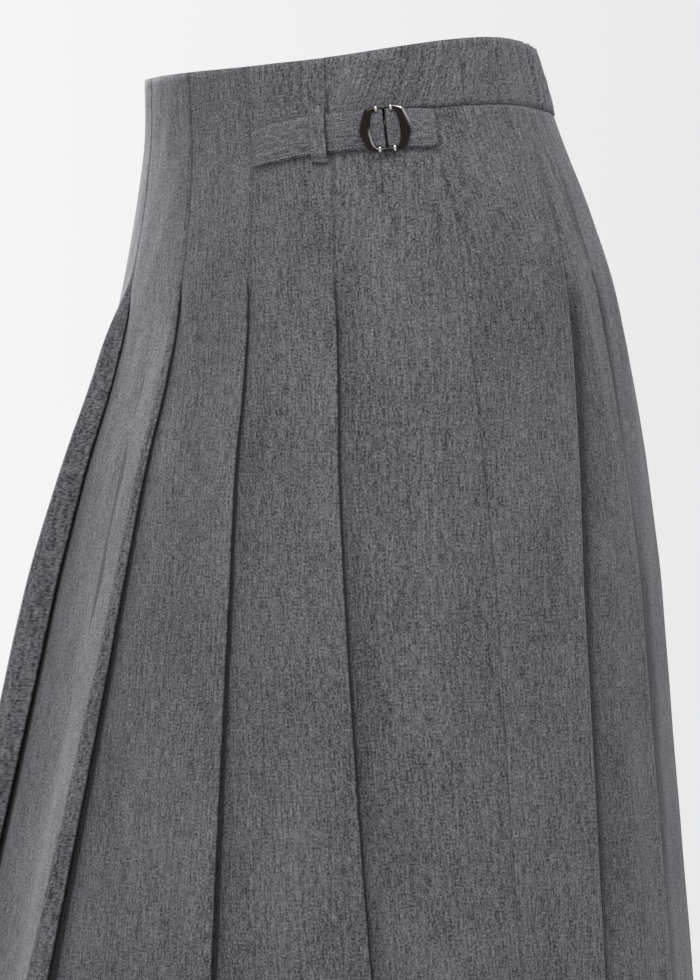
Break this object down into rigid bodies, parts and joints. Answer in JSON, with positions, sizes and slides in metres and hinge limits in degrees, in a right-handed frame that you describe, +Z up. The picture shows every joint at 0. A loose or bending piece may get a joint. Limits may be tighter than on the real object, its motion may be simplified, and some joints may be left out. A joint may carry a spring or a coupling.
{
  "type": "pleated midi skirt",
  "caption": "Worn-form grey wool midi skirt with one-way knife pleats, elasticated back waistband and a buckled side tab.",
  "frame": {"origin": "middle of the waist opening, at the level where the waist holds the skirt", "axes": "+Z up out of the waist, the garment's front faces -Y, the wearer's left is +X"},
  "size_m": [0.5453, 0.4665, 0.7685],
  "materials": {
    "wool_suiting": "matte melange wool suiting, mid grey",
    "gunmetal": "polished dark gunmetal plating"
  },
  "bodies": {
    "root": {"front_panel": "wool_suiting", "back_panel": "wool_suiting", "side_band_left": "wool_suiting", "side_band_right": "wool_suiting", "back_band": "wool_suiting", "tab_strap": "wool_suiting", "tab_end": "wool_suiting", "carrier_loop": "wool_suiting", "buckle": "gunmetal"}
  },
  "joints": []
}
